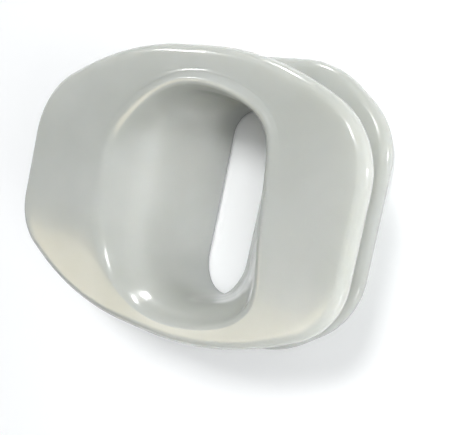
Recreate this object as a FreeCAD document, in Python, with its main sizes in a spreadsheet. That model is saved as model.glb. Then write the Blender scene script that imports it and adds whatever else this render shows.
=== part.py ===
import FreeCAD, Part
import math
import os
import Sketcher

# Soft cheek retractor, moulded as a spool: an outer shield that lies on the cheek and lips, an inner
# shield that lies against the gums, and a funnel-shaped tunnel between them that the dentist works
# through. +Z runs out of the mouth along the tunnel, and the back of the inner shield is at Z = 0.
# +Y is along the tall way of the tunnel. The short wings point to +X, and the long wings to -X.

SIZES = {
    "shield_thick": 3.0,            # both shields, front to back
    "rim_round": 1.42,              # rim fillet, just under half the thickness
    "groove_gap": 11.0,             # room for the cheek between the two shields
    "tunnel_offset": 3.4,           # tunnel axis from the middle of the shields, towards +X
    "outer_half_width": 33.4,
    "outer_half_height": 22.2,
    "outer_side_flat": 12.8,        # half length of the straight side, before rounding
    "outer_top_flat": 15.2,         # half length of the straight top, before rounding
    "outer_side_round": 11.8,
    "outer_top_round": 50.0,
    "inner_half_width": 29.3,
    "inner_half_height": 23.4,
    "inner_side_flat": 14.2,
    "inner_top_flat": 17.3,
    "inner_side_round": 12.5,
    "inner_top_round": 17.0,
    "mouth_half_width": 16.3,       # where the funnel leaves the face of the outer shield
    "mouth_half_height": 18.9,
    "mouth_land": 0.5,              # flat ring left round the funnel's mouth
    "funnel_depth": 4.4,            # the funnel piece, from the outer face to the sleeve
    "lip_half_width": 11.4,         # inner edge of the funnel, where the tunnel wall begins
    "lip_half_height": 16.6,
    "sleeve_wall": 2.4,
    "waist_half_width": 4.8,        # tunnel at the front face of the inner shield
    "waist_half_height": 15.8,
    "exit_half_width": 4.1,         # tunnel at the back face of the inner shield
    "exit_half_height": 15.6,
    "exit_round": 0.8,
}

doc = FreeCAD.newDocument("cheek_retractor")
sheet = doc.addObject("Spreadsheet::Sheet", "sheet")
for row, (alias, value) in enumerate(SIZES.items(), start=1):
    sheet.set("A%d" % row, str(value))
    sheet.setAlias("A%d" % row, alias)
doc.recompute()


def new_body(label):
    """An empty PartDesign body whose label names the node and its file."""
    body = doc.addObject("PartDesign::Body", label)
    body.Label = label
    return body


def plane_sketch(body, name, x_at, z_at):
    """A sketch parallel to the body's XY plane, moved by two sheet expressions."""
    sketch = body.newObject("Sketcher::SketchObject", name)
    planes = [f for f in body.Origin.OriginFeatures if f.Role == "XY_Plane"]
    sketch.AttachmentSupport = [(planes[0], "")]
    sketch.MapMode = "FlatFace"
    sketch.setExpression("AttachmentOffset.Base.x", x_at)
    sketch.setExpression("AttachmentOffset.Base.z", z_at)
    return sketch


def pin_coordinate(sketch, kind, line, sign, expression):
    """Holds the start of a line at a signed distance from the sketch's origin."""
    if sign > 0:
        number = sketch.addConstraint(Sketcher.Constraint(kind, -1, 1, line, 1, 1.0))
    else:
        number = sketch.addConstraint(Sketcher.Constraint(kind, line, 1, -1, 1, 1.0))
    sketch.setExpression("Constraints[%d]" % number, expression)


def octagon_sketch(body, shield):
    """The eight-sided outline of a shield: straight sides and tops with slanted ends between them."""
    half_width = "sheet.%s_half_width" % shield
    half_height = "sheet.%s_half_height" % shield
    side_flat = "sheet.%s_side_flat" % shield
    top_flat = "sheet.%s_top_flat" % shield
    quarter = [(half_width, side_flat), (top_flat, half_height)]
    upper = [(1, 1, 0), (1, 1, 1), (-1, 1, 1), (-1, 1, 0)]
    lower = [(-1, -1, 0), (-1, -1, 1), (1, -1, 1), (1, -1, 0)]
    corners = upper + lower

    def point(corner):
        sign_x, sign_y, which = corner
        x_name, y_name = (text.split(".")[1] for text in quarter[which])
        return FreeCAD.Vector(sign_x * SIZES[x_name], sign_y * SIZES[y_name], 0)

    sketch = plane_sketch(body, shield + "_outline", "0 mm", "0 mm")
    count = len(corners)
    for number, corner in enumerate(corners):
        following = corners[(number + 1) % count]
        sketch.addGeometry(Part.LineSegment(point(corner), point(following)))
    for number in range(count):
        sketch.addConstraint(Sketcher.Constraint("Coincident", number, 2, (number + 1) % count, 1))
    for number, (sign_x, sign_y, which) in enumerate(corners):
        pin_coordinate(sketch, "DistanceX", number, sign_x, quarter[which][0])
        pin_coordinate(sketch, "DistanceY", number, sign_y, quarter[which][1])
    return sketch


def stadium_sketch(body, name, half_width, half_height, x_at, z_at):
    """A tall slot outline with round ends, from two sheet expressions."""
    sketch = plane_sketch(body, name, x_at, z_at)
    radius, reach = 5.0, 10.0       # a first guess, which the constraints then move
    up = FreeCAD.Vector(0, reach, 0)
    normal = FreeCAD.Vector(0, 0, 1)
    upper_circle = Part.Circle(up, normal, radius)
    lower_circle = Part.Circle(-up, normal, radius)
    top = sketch.addGeometry(Part.ArcOfCircle(upper_circle, 0, math.pi))
    left = sketch.addGeometry(Part.LineSegment(
        FreeCAD.Vector(-radius, reach, 0), FreeCAD.Vector(-radius, -reach, 0)))
    bottom = sketch.addGeometry(Part.ArcOfCircle(lower_circle, math.pi, 2 * math.pi))
    right = sketch.addGeometry(Part.LineSegment(
        FreeCAD.Vector(radius, -reach, 0), FreeCAD.Vector(radius, reach, 0)))
    ring = [top, left, bottom, right]
    for place, number in enumerate(ring):
        sketch.addConstraint(Sketcher.Constraint("Tangent", number, 2, ring[(place + 1) % 4], 1))
    sketch.addConstraint(Sketcher.Constraint("Symmetric", top, 3, bottom, 3, -1, 1))
    sketch.addConstraint(Sketcher.Constraint("PointOnObject", top, 3, -2))
    sketch.addConstraint(Sketcher.Constraint("Equal", top, bottom))
    round_end = sketch.addConstraint(Sketcher.Constraint("Radius", top, radius))
    centre_up = sketch.addConstraint(Sketcher.Constraint("DistanceY", -1, 1, top, 3, reach))
    sketch.setExpression("Constraints[%d]" % round_end, half_width)
    sketch.setExpression("Constraints[%d]" % centre_up, "%s - (%s)" % (half_height, half_width))
    return sketch


def pad(body, sketch, length):
    feature = body.newObject("PartDesign::Pad", sketch.Name + "_pad")
    feature.Profile = sketch
    feature.setExpression("Length", length)
    doc.recompute()
    return feature


def loft(body, kind, name, first, second):
    """An AdditiveLoft or SubtractiveLoft between two sketches."""
    feature = body.newObject("PartDesign::" + kind, name)
    feature.Profile = first
    feature.Sections = [second]
    feature.Ruled = True
    doc.recompute()
    return feature


def fillet(body, name, base, wanted, radius):
    """Rounds each edge of the last feature that the test picks."""
    edges = ["Edge%d" % (number + 1) for number, edge in enumerate(base.Shape.Edges) if wanted(edge)]
    feature = body.newObject("PartDesign::Fillet", name)
    feature.Base = (base, edges)
    feature.setExpression("Radius", radius)
    doc.recompute()
    return feature


def upright_at(half_height):
    """Picks the upright edges whose distance from the long middle line is half_height."""
    def wanted(edge):
        low, high = edge.BoundBox.ZMin, edge.BoundBox.ZMax
        upright = high - low > 1.0 and edge.BoundBox.XLength + edge.BoundBox.YLength < 1e-3
        return upright and abs(abs(edge.BoundBox.YMin) - half_height) < 0.1
    return wanted


def level_edge(edge):
    return edge.BoundBox.ZLength < 1e-3


def shield_plate(body, shield):
    """The flat plate of a shield, with rounded corners and a full round rim."""
    plate = pad(body, octagon_sketch(body, shield), "sheet.shield_thick")
    plate = fillet(body, shield + "_side_corners", plate, upright_at(SIZES[shield + "_side_flat"]),
                   "sheet.%s_side_round" % shield)
    plate = fillet(body, shield + "_top_corners", plate, upright_at(SIZES[shield + "_half_height"]),
                   "sheet.%s_top_round" % shield)
    return fillet(body, shield + "_rim", plate, level_edge, "sheet.rim_round")


def make_inner_shield():
    """Rear flange, which lies against the gums: it has the narrow end of the tunnel through it."""
    body = new_body("inner_shield")
    shield_plate(body, "inner")
    exit_slot = stadium_sketch(body, "exit_slot", "sheet.exit_half_width", "sheet.exit_half_height",
                               "sheet.tunnel_offset", "0 mm")
    waist_slot = stadium_sketch(body, "waist_slot", "sheet.waist_half_width", "sheet.waist_half_height",
                                "sheet.tunnel_offset", "sheet.shield_thick")
    cut = loft(body, "SubtractiveLoft", "exit_cut", exit_slot, waist_slot)
    reach = SIZES["exit_half_height"] + 0.1

    def exit_edge(edge):
        box = edge.BoundBox
        return box.ZMax < 1e-3 and max(abs(box.YMin), abs(box.YMax)) < reach and box.XLength < 12.0
    fillet(body, "exit_rounding", cut, exit_edge, "sheet.exit_round")
    return body


def make_tunnel_sleeve():
    """The springy tunnel wall between the shields, narrowing from the funnel to the inner shield."""
    body = new_body("tunnel_sleeve")
    body.setExpression("Placement.Base.x", "sheet.tunnel_offset")
    body.setExpression("Placement.Base.z", "sheet.shield_thick")
    top = "sheet.groove_gap + sheet.shield_thick - sheet.funnel_depth"
    wall = " + sheet.sleeve_wall"
    outside = [
        stadium_sketch(body, "outside_low", "sheet.waist_half_width" + wall,
                       "sheet.waist_half_height" + wall, "0 mm", "0 mm"),
        stadium_sketch(body, "outside_high", "sheet.lip_half_width" + wall,
                       "sheet.lip_half_height" + wall, "0 mm", top),
    ]
    loft(body, "AdditiveLoft", "outside", *outside)
    inside = [
        stadium_sketch(body, "inside_low", "sheet.waist_half_width", "sheet.waist_half_height",
                       "0 mm", "0 mm"),
        stadium_sketch(body, "inside_high", "sheet.lip_half_width", "sheet.lip_half_height",
                       "0 mm", top),
    ]
    loft(body, "SubtractiveLoft", "inside", *inside)
    return body


def make_mouth_funnel():
    """The dished mouth of the tunnel, set in the outer shield."""
    body = new_body("mouth_funnel")
    body.setExpression("Placement.Base.x", "sheet.tunnel_offset")
    body.setExpression("Placement.Base.z",
                       "2 * sheet.shield_thick + sheet.groove_gap - sheet.funnel_depth")
    outline = stadium_sketch(body, "funnel_outline", "sheet.mouth_half_width",
                             "sheet.mouth_half_height", "0 mm", "0 mm")
    pad(body, outline, "sheet.funnel_depth")
    lip = stadium_sketch(body, "lip", "sheet.lip_half_width", "sheet.lip_half_height", "0 mm", "0 mm")
    mouth = stadium_sketch(body, "mouth", "sheet.mouth_half_width - sheet.mouth_land",
                           "sheet.mouth_half_height - sheet.mouth_land", "0 mm", "sheet.funnel_depth")
    loft(body, "SubtractiveLoft", "dish", lip, mouth)
    return body


def make_outer_shield():
    """Front flange, which lies on the cheek and lips, with the opening that holds the funnel."""
    body = new_body("outer_shield")
    body.setExpression("Placement.Base.z", "sheet.shield_thick + sheet.groove_gap")
    shield_plate(body, "outer")
    low = stadium_sketch(body, "opening_low", "sheet.mouth_half_width", "sheet.mouth_half_height",
                         "sheet.tunnel_offset", "0 mm")
    high = stadium_sketch(body, "opening_high", "sheet.mouth_half_width", "sheet.mouth_half_height",
                          "sheet.tunnel_offset", "sheet.shield_thick")
    loft(body, "SubtractiveLoft", "opening", low, high)
    return body


bodies = [make_inner_shield(), make_tunnel_sleeve(), make_mouth_funnel(), make_outer_shield()]
doc.recompute()

for thing in doc.Objects:
    if "Invalid" in thing.State or "Error" in thing.State:
        raise RuntimeError("%s failed: %s" % (thing.Name, thing.State))
for body in bodies:
    shape = body.Shape
    if shape.isNull() or not shape.isValid() or len(shape.Solids) != 1:
        raise RuntimeError("%s has no valid single solid" % body.Label)

os.makedirs("parts", exist_ok=True)
for body in bodies:
    body.Shape.exportStep("parts/%s.step" % body.Label)
    box = body.Shape.BoundBox
    print("%-14s %8.1f mm3  x %.1f..%.1f  y %.1f..%.1f  z %.1f..%.1f" % (
        body.Label, body.Shape.Volume, box.XMin, box.XMax, box.YMin, box.YMax, box.ZMin, box.ZMax))
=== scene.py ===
import math

import bpy
import numpy as np
from mathutils import Matrix, Vector


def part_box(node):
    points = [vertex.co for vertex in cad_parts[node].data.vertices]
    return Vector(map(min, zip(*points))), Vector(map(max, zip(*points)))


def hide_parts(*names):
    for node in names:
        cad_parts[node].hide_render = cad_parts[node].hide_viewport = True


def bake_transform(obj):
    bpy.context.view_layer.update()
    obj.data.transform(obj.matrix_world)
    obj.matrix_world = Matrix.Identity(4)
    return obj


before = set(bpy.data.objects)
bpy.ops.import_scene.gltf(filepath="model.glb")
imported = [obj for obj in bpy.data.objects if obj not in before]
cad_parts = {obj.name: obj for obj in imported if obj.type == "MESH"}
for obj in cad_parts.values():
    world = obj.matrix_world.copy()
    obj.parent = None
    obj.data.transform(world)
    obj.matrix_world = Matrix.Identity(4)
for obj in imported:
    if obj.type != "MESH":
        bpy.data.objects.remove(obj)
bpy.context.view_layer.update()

# ---------------------------------------------------------------- sizes, in millimetres
MM = 0.001
INNER_LOW, INNER_HIGH = (np.array(corner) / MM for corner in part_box("inner_shield"))
OUTER_LOW, OUTER_HIGH = (np.array(corner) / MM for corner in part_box("outer_shield"))
FUNNEL_LOW, FUNNEL_HIGH = (np.array(corner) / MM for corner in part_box("mouth_funnel"))

TUNNEL_X = (FUNNEL_LOW[0] + FUNNEL_HIGH[0]) / 2
FACE = OUTER_HIGH[2]                        # outer face of the outer shield
GROOVE_TOP = OUTER_LOW[2]
GROOVE_FLOOR = INNER_HIGH[2]
THICK = INNER_HIGH[2] - INNER_LOW[2]        # thickness of each shield
RIM = THICK / 2                             # radius of a shield's half-round rim

# Outlines of the two shields: half length of the straight sides, half length of the straight top and
# bottom with the left part of the top, radii of the upper and lower side corners, radius of the
# corners at the top and bottom, and how far the outline is shifted.
OUTER_SHAPE = {"side_flat": 12.8, "top_flats": (15.2, 13.0), "side_rounds": (12.7, 9.8), "top_round": 50.0}
OUTER_SHIFT = (0, -0.5)
INNER_SHAPE = {"side_flat": 14.2, "top_flats": (17.3, 17.3), "side_rounds": (12.5, 12.5), "top_round": 17.0}
INNER_SHIFT = (0, 0.4)

LEAN = 0.043         # lean of a slot's right side, per millimetre of its corner's push
# (cos * sin) ** 2 is 1/4 half-way round a corner, so this gain makes the bump as high as the push.
PUSH_GAIN = 4

# ---------------------------------------------------------------- fineness of the skin
AROUND = 288         # points round each ring
CORNER_POINTS = 40   # points on each rounded corner of a shield's outline
QUARTER_POINTS = 50  # points on each quarter of a slot's outline
FLAT_RINGS = 6       # rings across each flat stretch
TINY = 1e-6          # keeps the curve's knots apart where two key rings share a point


# ---------------------------------------------------------------- outlines
def octagon(half_width, half_height, side_flat, top_flats, side_rounds, top_round, inset):
    """Rounded eight-sided outline, as a dense closed loop of points, moved inwards by inset.
    top_flats: half length of the straight top and bottom, and the left part of the top.
    side_rounds: radius of the upper and of the lower side corners."""
    top_flat, top_left = top_flats
    corners = [(half_width, side_flat), (top_flat, half_height), (-top_left, half_height),
               (-half_width, side_flat), (-half_width, -side_flat), (-top_flat, -half_height),
               (top_flat, -half_height), (half_width, -side_flat)]
    upper, lower = side_rounds
    rounds = [upper, top_round, top_round, upper, lower, top_round, top_round, lower]
    points = []
    for number, corner in enumerate(corners):
        here = np.array(corner)
        before = np.array(corners[number - 1]) - here
        after = np.array(corners[(number + 1) % len(corners)]) - here
        before /= np.linalg.norm(before)
        after /= np.linalg.norm(after)
        turn = math.pi - math.acos(float(before @ after))
        inward = (before + after) / np.linalg.norm(before + after)
        centre = here + inward * rounds[number] / math.cos(turn / 2)
        start = here + before * rounds[number] * math.tan(turn / 2) - centre
        first = math.atan2(start[1], start[0])
        for share in np.linspace(0, 1, CORNER_POINTS):
            angle = first + turn * share
            way = np.array([math.cos(angle), math.sin(angle)])
            points.append(centre + (rounds[number] - inset) * way)
    return np.array(points)


def slot(left, right, top, bottom, straight, tips, pushes):
    """Tall opening with rounded ends: its four extents, half length of its straight sides, where its
    upper and lower tips are along X, and how far its upper left, upper right and lower right corners
    are pushed towards +X. The right side leans towards the pushed lower corner."""
    points = []
    for start in range(4):
        upper, on_right = start < 2, start in (0, 3)
        tip = tips[0] if upper else tips[1]
        reach_x = (right if on_right else left) - tip
        reach_y = (top - straight) if upper else (bottom + straight)
        push = PUSH_GAIN * (pushes[1], pushes[0], 0, pushes[2])[start]
        lean = LEAN * pushes[2] if on_right else 0
        for angle in np.linspace(start, start + 1, QUARTER_POINTS) * math.pi / 2:
            across, along = abs(math.cos(angle)), abs(math.sin(angle))
            y = (straight if upper else -straight) + reach_y * along
            points.append((tip + (reach_x - lean * y) * across + push * (across * along) ** 2, y))
    return np.array(points)


def even_loop(loop):
    """AROUND points on a closed loop, evenly spaced within each quarter seen from the tunnel's axis."""
    closed = np.vstack([loop, loop[:1]])
    steps = np.linalg.norm(np.diff(closed, axis=0), axis=1)
    along = np.concatenate([[0], np.cumsum(steps)])
    total = along[-1]
    angle = np.unwrap(np.arctan2(closed[:, 1], closed[:, 0] - TUNNEL_X))
    quarter = np.arange(5) * math.pi / 2
    doubled_angle = np.concatenate([angle[:-1] - 2 * math.pi, angle[:-1], angle + 2 * math.pi])
    doubled_along = np.concatenate([along[:-1] - total, along[:-1], along + total])
    marks = np.interp(quarter, doubled_angle, doubled_along)
    quarters = [np.linspace(marks[k], marks[k + 1], AROUND // 4, endpoint=False) for k in range(4)]
    wanted = np.concatenate(quarters) % total
    return np.stack([np.interp(wanted, along, closed[:, axis]) for axis in (0, 1)], axis=1)


def outer_outline(inset):
    outline = octagon(OUTER_HIGH[0], OUTER_HIGH[1], inset=inset, **OUTER_SHAPE)
    return even_loop(outline + OUTER_SHIFT)


def inner_outline(inset):
    outline = octagon(INNER_HIGH[0], INNER_HIGH[1], inset=inset, **INNER_SHAPE)
    return even_loop(outline + INNER_SHIFT)


def slot_ring(extents, heights, straight=5.0, tips=(3.4, 4.6), pushes=(0.0, 0.0, 0.0)):
    """Ring on a slot outline. extents: left, right, top, bottom. heights: one, or one for each of these."""
    left, right, top, bottom = extents
    outline = even_loop(slot(left, right, top, bottom, straight, tips, pushes))
    across = (outline[:, 0] - (left + right) / 2) / (right - left)
    along = (outline[:, 1] - (top + bottom) / 2) / (top - bottom)
    share = np.clip([-across, across, along, -along], 0, 1) ** 2
    return np.column_stack([outline, np.broadcast_to(heights, 4) @ (share / share.sum(axis=0))])


# ---------------------------------------------------------------- the moulding
def ring(outline, height):
    return np.column_stack([outline, np.full(len(outline), height)])


def rim_rings(outline_at, low, count=14):
    """Half-round rim of a shield, from its lower face round to its upper face."""
    rings = []
    for angle in np.linspace(0, math.pi, count):
        inset = RIM * (1 - math.sin(angle))
        rings.append(ring(outline_at(inset), low + RIM * (1 - math.cos(angle))))
    return rings


def between(first, last, count):
    """Rings spread evenly between two rings, without the two themselves."""
    return [first + (last - first) * share for share in np.linspace(0, 1, count + 2)[1:-1]]


def knot_gap(first, last):
    """Distance in the curve's parameter between matching points of two rings."""
    return np.sqrt(np.linalg.norm(last - first, axis=1, keepdims=True)) + TINY


def smooth_rings(keys, per_gap):
    """Rings along a smooth curve through the key rings (centripetal Catmull-Rom, open ends)."""
    padded = [2 * keys[0] - keys[1]] + keys + [2 * keys[-1] - keys[-2]]
    rings = []
    for number in range(1, len(padded) - 2):
        p0, p1, p2, p3 = padded[number - 1:number + 3]
        t1 = knot_gap(p0, p1)
        t2 = t1 + knot_gap(p1, p2)
        t3 = t2 + knot_gap(p2, p3)
        for share in np.linspace(0, 1, per_gap, endpoint=False):
            t = t1 + (t2 - t1) * share
            a1 = (t1 - t) / t1 * p0 + t / t1 * p1
            a2 = (t2 - t) / (t2 - t1) * p1 + (t - t1) / (t2 - t1) * p2
            a3 = (t3 - t) / (t3 - t2) * p2 + (t - t2) / (t3 - t2) * p3
            b1 = (t2 - t) / t2 * a1 + t / t2 * a2
            b2 = (t3 - t) / (t3 - t1) * a2 + (t - t1) / (t3 - t1) * a3
            rings.append((t2 - t) / (t2 - t1) * b1 + (t - t1) / (t2 - t1) * b2)
    rings.append(keys[-1])
    return rings


def tunnel_rings():
    """From the flat outer face, down the dish, over the lip and down the tunnel to the back face."""
    wide = (3.4, 4.6)
    keys = [
        slot_ring((-15.2, 21.2, 17.5, -20.8), FACE, 4.0, wide, (1.3, 1.7, 2.6)),
        slot_ring((-14.3, 20.5, 16.9, -20.6), FACE + np.array([-0.03, 0, 0.35, 0]), 4.0, wide,
                  (1.3, 1.7, 2.7)),
        slot_ring((-13.4, 19.9, 16.2, -20.4), FACE + np.array([-0.15, 0, 0.6, 0]), 4.0, wide,
                  (1.3, 1.8, 2.8)),
        slot_ring((-12.4, 19.3, 15.6, -20.2), FACE + np.array([-0.42, -0.1, 0.3, -0.14]), 4.1, wide,
                  (1.3, 1.8, 2.9)),
        slot_ring((-11.3, 18.8, 15.3, -19.8), FACE - np.array([0.93, 0.4, 0.35, 0.55]), 4.4, wide,
                  (1.2, 1.8, 2.8)),
        slot_ring((-9.6, 18.3, 15.0, -18.95), FACE - np.array([2.0, 1.4, 1.3, 1.8]), 5.2, wide,
                  (1.0, 1.7, 2.6)),
        slot_ring((-7.9, 17.7, 14.9, -18.1), FACE - np.array([3.2, 2.7, 2.5, 3.0]), 5.8, wide,
                  (0.7, 1.6, 2.3)),
        slot_ring((-6.5, 16.8, 14.9, -17.4), FACE - np.array([4.6, 4.4, 4.2, 4.6]), 6.0, wide,
                  (0.4, 1.4, 1.9)),
        slot_ring((-5.4, 15.2, 14.9, -17.0), FACE - 6.6, 6.5, wide, (0.2, 1.1, 1.4)),
        slot_ring((-3.6, 12.2, 14.9, -16.8), FACE - 10.8, 8.0, (3.4, 4.5), (0.0, 0.7, 0.7)),
        slot_ring((-1.7, 9.9, 14.9, -16.6), GROOVE_FLOOR, 9.5, (3.5, 4.3), (0.0, 0.3, 0.1)),
        slot_ring((-0.6, 8.0, 14.9, -16.5), 1.0, 10.5, (3.6, 4.0), (0.0, 0.1, -0.3)),
        slot_ring((-0.7, 8.1, 15.0, -16.6), 0.3, 10.5, (3.6, 4.0), (0.0, 0.1, -0.3)),
        slot_ring((-1.4, 8.8, 15.7, -17.3), 0.0, 10.5, (3.6, 4.0), (0.0, 0.1, -0.3)),
    ]
    return smooth_rings(keys, per_gap=7)


def sleeve_rings():
    """The outside of the tunnel wall, from the inner shield up to the underside of the outer shield."""
    keys = [
        slot_ring((-6.2, 13.5, 18.6, -20.0), GROOVE_FLOOR, 6.5, pushes=(0.0, 1.3, 0.9)),
        slot_ring((-4.7, 12.4, 17.7, -19.0), GROOVE_FLOOR + 0.5, 6.5, pushes=(0.0, 1.5, 1.1)),
        slot_ring((-4.6, 12.9, 17.4, -18.7), GROOVE_FLOOR + 2.0, 6.5, pushes=(0.0, 1.8, 1.5)),
        slot_ring((-7.0, 15.4, 17.4, -18.9), 8.0, 6.3, pushes=(0.2, 1.8, 2.1)),
        slot_ring((-9.2, 18.4, 17.6, -19.4), GROOVE_TOP - 1.6, 6.0, pushes=(0.5, 1.9, 2.8)),
        slot_ring((-10.6, 19.6, 18.1, -20.0), GROOVE_TOP - 0.4, 5.5, pushes=(0.8, 1.8, 2.9)),
        slot_ring((-12.2, 20.9, 19.0, -20.4), GROOVE_TOP, 5.0, pushes=(1.0, 1.8, 2.9)),
    ]
    return smooth_rings(keys, per_gap=6)


def skin_rings():
    """Every ring of the closed skin, in order along its section."""
    tunnel = tunnel_rings()
    sleeve = sleeve_rings()
    inner_rim = rim_rings(inner_outline, 0.0)
    outer_rim = rim_rings(outer_outline, GROOVE_TOP)
    rings = []
    rings += inner_rim
    rings += between(inner_rim[-1], sleeve[0], FLAT_RINGS)
    rings += sleeve
    rings += between(sleeve[-1], outer_rim[0], FLAT_RINGS)
    rings += outer_rim
    rings += between(outer_rim[-1], tunnel[0], FLAT_RINGS)
    rings += tunnel
    rings += between(tunnel[-1], inner_rim[0], FLAT_RINGS)
    return rings


def make_skin():
    """One closed mesh: rings round the tunnel, joined to each other in quads."""
    rings = skin_rings()
    points = np.concatenate(rings) * MM
    faces = []
    count = len(rings)
    for row in range(count):
        following = (row + 1) % count
        for column in range(AROUND):
            beside = (column + 1) % AROUND
            faces.append((row * AROUND + column, row * AROUND + beside,
                          following * AROUND + beside, following * AROUND + column))
    mesh = bpy.data.meshes.new("retractor_skin")
    mesh.from_pydata(points.tolist(), [], faces)
    mesh.shade_smooth()
    mesh.update()
    skin = bpy.data.objects.new("retractor_skin", mesh)
    bpy.context.scene.collection.objects.link(skin)
    return skin


# ---------------------------------------------------------------- materials
def silicone():
    """Milky, glossy silicone: light scatters inside it, and its surface is faintly uneven."""
    material = bpy.data.materials.new("milky_silicone")
    material.use_nodes = True
    nodes, links = material.node_tree.nodes, material.node_tree.links
    shader = nodes["Principled BSDF"]
    shader.inputs["Subsurface Weight"].default_value = 0.9
    shader.inputs["Subsurface Radius"].default_value = (1.0, 0.95, 0.85)
    shader.inputs["Subsurface Scale"].default_value = 0.006
    shader.inputs["IOR"].default_value = 1.43
    shader.inputs["Coat Weight"].default_value = 0.15
    shader.inputs["Coat Roughness"].default_value = 0.05

    place = nodes.new("ShaderNodeTexCoord")
    cloud = nodes.new("ShaderNodeTexNoise")
    cloud.inputs["Scale"].default_value = 60.0
    cloud.inputs["Detail"].default_value = 3.0
    tint = nodes.new("ShaderNodeValToRGB")
    tint.color_ramp.elements[0].position = 0.35
    tint.color_ramp.elements[0].color = (0.405, 0.42, 0.395, 1)
    tint.color_ramp.elements[1].position = 0.65
    tint.color_ramp.elements[1].color = (0.445, 0.46, 0.44, 1)
    links.new(place.outputs["Object"], cloud.inputs["Vector"])
    links.new(cloud.outputs["Fac"], tint.inputs["Fac"])
    links.new(tint.outputs["Color"], shader.inputs["Base Color"])

    smear = nodes.new("ShaderNodeTexNoise")
    smear.inputs["Scale"].default_value = 240.0
    smear.inputs["Detail"].default_value = 4.0
    rough = nodes.new("ShaderNodeMapRange")
    rough.inputs["To Min"].default_value = 0.10
    rough.inputs["To Max"].default_value = 0.22
    links.new(place.outputs["Object"], smear.inputs["Vector"])
    links.new(smear.outputs["Fac"], rough.inputs["Value"])
    links.new(rough.outputs["Result"], shader.inputs["Roughness"])

    ripple = nodes.new("ShaderNodeTexNoise")
    ripple.inputs["Scale"].default_value = 180.0
    ripple.inputs["Detail"].default_value = 2.0
    bump = nodes.new("ShaderNodeBump")
    bump.inputs["Strength"].default_value = 0.08
    bump.inputs["Distance"].default_value = 0.0004
    links.new(place.outputs["Object"], ripple.inputs["Vector"])
    links.new(ripple.outputs["Fac"], bump.inputs["Height"])
    links.new(bump.outputs["Normal"], shader.inputs["Normal"])
    return material


def floor_paper():
    """Plain pale floor."""
    material = bpy.data.materials.new("pale_floor")
    material.use_nodes = True
    shader = material.node_tree.nodes["Principled BSDF"]
    shader.inputs["Base Color"].default_value = (0.935, 0.945, 0.955, 1)
    shader.inputs["Roughness"].default_value = 0.9
    return material


# ---------------------------------------------------------------- stage
def turned(tilt, lift, roll):
    """Camera directions: right, up, and towards the camera, for a view tilted about Y and lifted."""
    towards = Vector((math.sin(tilt) * math.cos(lift), math.sin(lift), math.cos(tilt) * math.cos(lift)))
    flat_right = Vector((math.cos(tilt), 0, -math.sin(tilt)))
    flat_up = towards.cross(flat_right)
    right = flat_right * math.cos(roll) + flat_up * math.sin(roll)
    up = flat_up * math.cos(roll) - flat_right * math.sin(roll)
    return right, up, towards


def make_camera():
    """The close-up view: from the short-wing side, looking into the tunnel's long-wing wall."""
    tilt = math.radians(36.9)
    lift = math.radians(3.75)
    roll = math.radians(11.7)
    right, up, towards = turned(tilt, lift, roll)
    target = Vector((7.15, -3.25, 8.5)) * MM
    away = 0.0998
    data = bpy.data.cameras.new("camera")
    data.lens_unit = "FOV"
    data.angle = math.radians(38.9)
    data.clip_start = 0.01
    data.clip_end = 10
    camera = bpy.data.objects.new("camera", data)
    turn = Matrix((right, up, towards)).transposed().to_4x4()
    camera.matrix_world = Matrix.Translation(target + towards * away) @ turn
    bpy.context.scene.collection.objects.link(camera)
    bpy.context.scene.camera = camera
    return right, up, towards, target


def area_light(name, place, target, size, watts, colour=(1, 1, 1), size_y=None):
    """Square lamp, or a rectangle where size_y is given, that faces the target. Sizes are in metres."""
    data = bpy.data.lights.new(name, "AREA")
    data.energy = watts
    data.color = colour
    data.size = size
    if size_y:
        data.shape = "RECTANGLE"
        data.size_y = size_y
    lamp = bpy.data.objects.new(name, data)
    lamp.location = place
    lamp.rotation_euler = (target - place).to_track_quat("-Z", "Y").to_euler()
    bpy.context.scene.collection.objects.link(lamp)
    return lamp


# Small lamps that show in reflections but give no diffuse light: name, direction from the target, size
# in metres, watts.
GLINTS = (
    ("glint_window", (-0.27, 0.92, 0.28), 0.05, 1.0),
    ("glint_lip", (-0.66, 0.38, 0.62), 0.03, 0.4),
    ("glint_right", (0.93, 0.33, 0.1), 0.06, 0.8),
    ("glint_corner", (0.93, -0.35, 0.1), 0.05, 0.5),
    ("glint_overhead", (-0.05, 0.4, 0.91), 0.06, 0.6),
)
GLINT_AWAY = 0.5                 # metres from the target to each of them
DISH_SPREAD = math.radians(10)   # narrow beam of the lamp that lightens the dish


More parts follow.
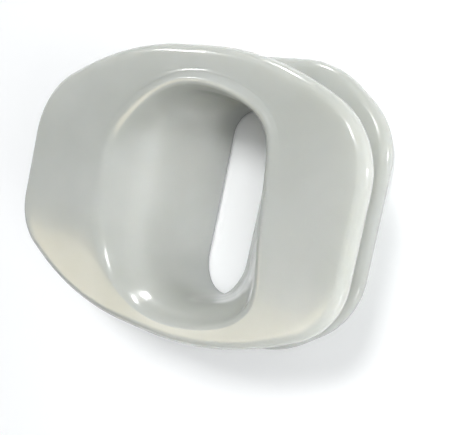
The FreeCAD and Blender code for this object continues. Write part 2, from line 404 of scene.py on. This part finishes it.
def make_stage(right, up, towards, target):
    """Floor, world and lights. Key and fill are placed by the camera's directions at rest, and the
    other lamps by directions in the frame."""
    bpy.ops.mesh.primitive_plane_add(size=3.0, location=(0, 0, 0))
    floor = bpy.context.object
    floor.name = "floor"
    floor.data.materials.append(floor_paper())

    studio_world()
    bpy.context.scene.view_settings.view_transform = "Standard"
    key_place = target + towards * 0.42 - right * 0.2 + up * 0.26
    key = area_light("key", key_place, target, size=0.15, watts=1.35)
    fill_place = target + towards * 0.5 + right * 0.06
    fill = area_light("fill", fill_place, target, size=0.2, watts=1.12)
    side_place = target + Vector((0.44, -0.09, 0.18))
    side = area_light("side", side_place, target, size=0.2, watts=0.85)
    dish_place = target + Vector((0.16, -0.024, 0.13))
    dish_target = Vector((-0.001, -0.003, 0.006))
    dish = area_light("dish_fill", dish_place, dish_target, size=0.02, watts=0.0006)
    dish.data.spread = DISH_SPREAD
    for lamp in (key, fill, side, dish):
        lamp.visible_glossy = False
    card_place = Vector((-0.34, -0.23, 0.42))
    card_target = Vector((-0.34, -0.23, 0))
    card = area_light("warm_card", card_place, card_target, size=0.62, watts=2.2,
                      colour=(1.0, 0.86, 0.56), size_y=0.26)
    card.visible_diffuse = False
    for name, way, size, watts in GLINTS:
        glint = area_light(name, target + Vector(way).normalized() * GLINT_AWAY, target, size, watts)
        glint.visible_diffuse = False


def studio_world():
    """Soft room light, which falls to about a quarter of its strength towards -Y."""
    world = bpy.data.worlds.new("studio")
    world.use_nodes = True
    nodes, links = world.node_tree.nodes, world.node_tree.links
    way = nodes.new("ShaderNodeTexCoord")
    split = nodes.new("ShaderNodeSeparateXYZ")
    fade = nodes.new("ShaderNodeMapRange")
    fade.interpolation_type = "SMOOTHSTEP"
    fade.inputs["From Min"].default_value = -0.9
    fade.inputs["From Max"].default_value = 0.1
    fade.inputs["To Min"].default_value = 0.12
    fade.inputs["To Max"].default_value = 0.46
    nodes["Background"].inputs["Color"].default_value = (0.97, 0.99, 1.0, 1)
    links.new(way.outputs["Generated"], split.inputs["Vector"])
    links.new(split.outputs["Y"], fade.inputs["Value"])
    links.new(fade.outputs["Result"], nodes["Background"].inputs["Strength"])
    bpy.context.scene.world = world


# ---------------------------------------------------------------- assembly
skin = make_skin()
skin.data.materials.append(silicone())
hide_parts("outer_shield", "mouth_funnel", "tunnel_sleeve", "inner_shield")
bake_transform(skin)
make_stage(*make_camera())
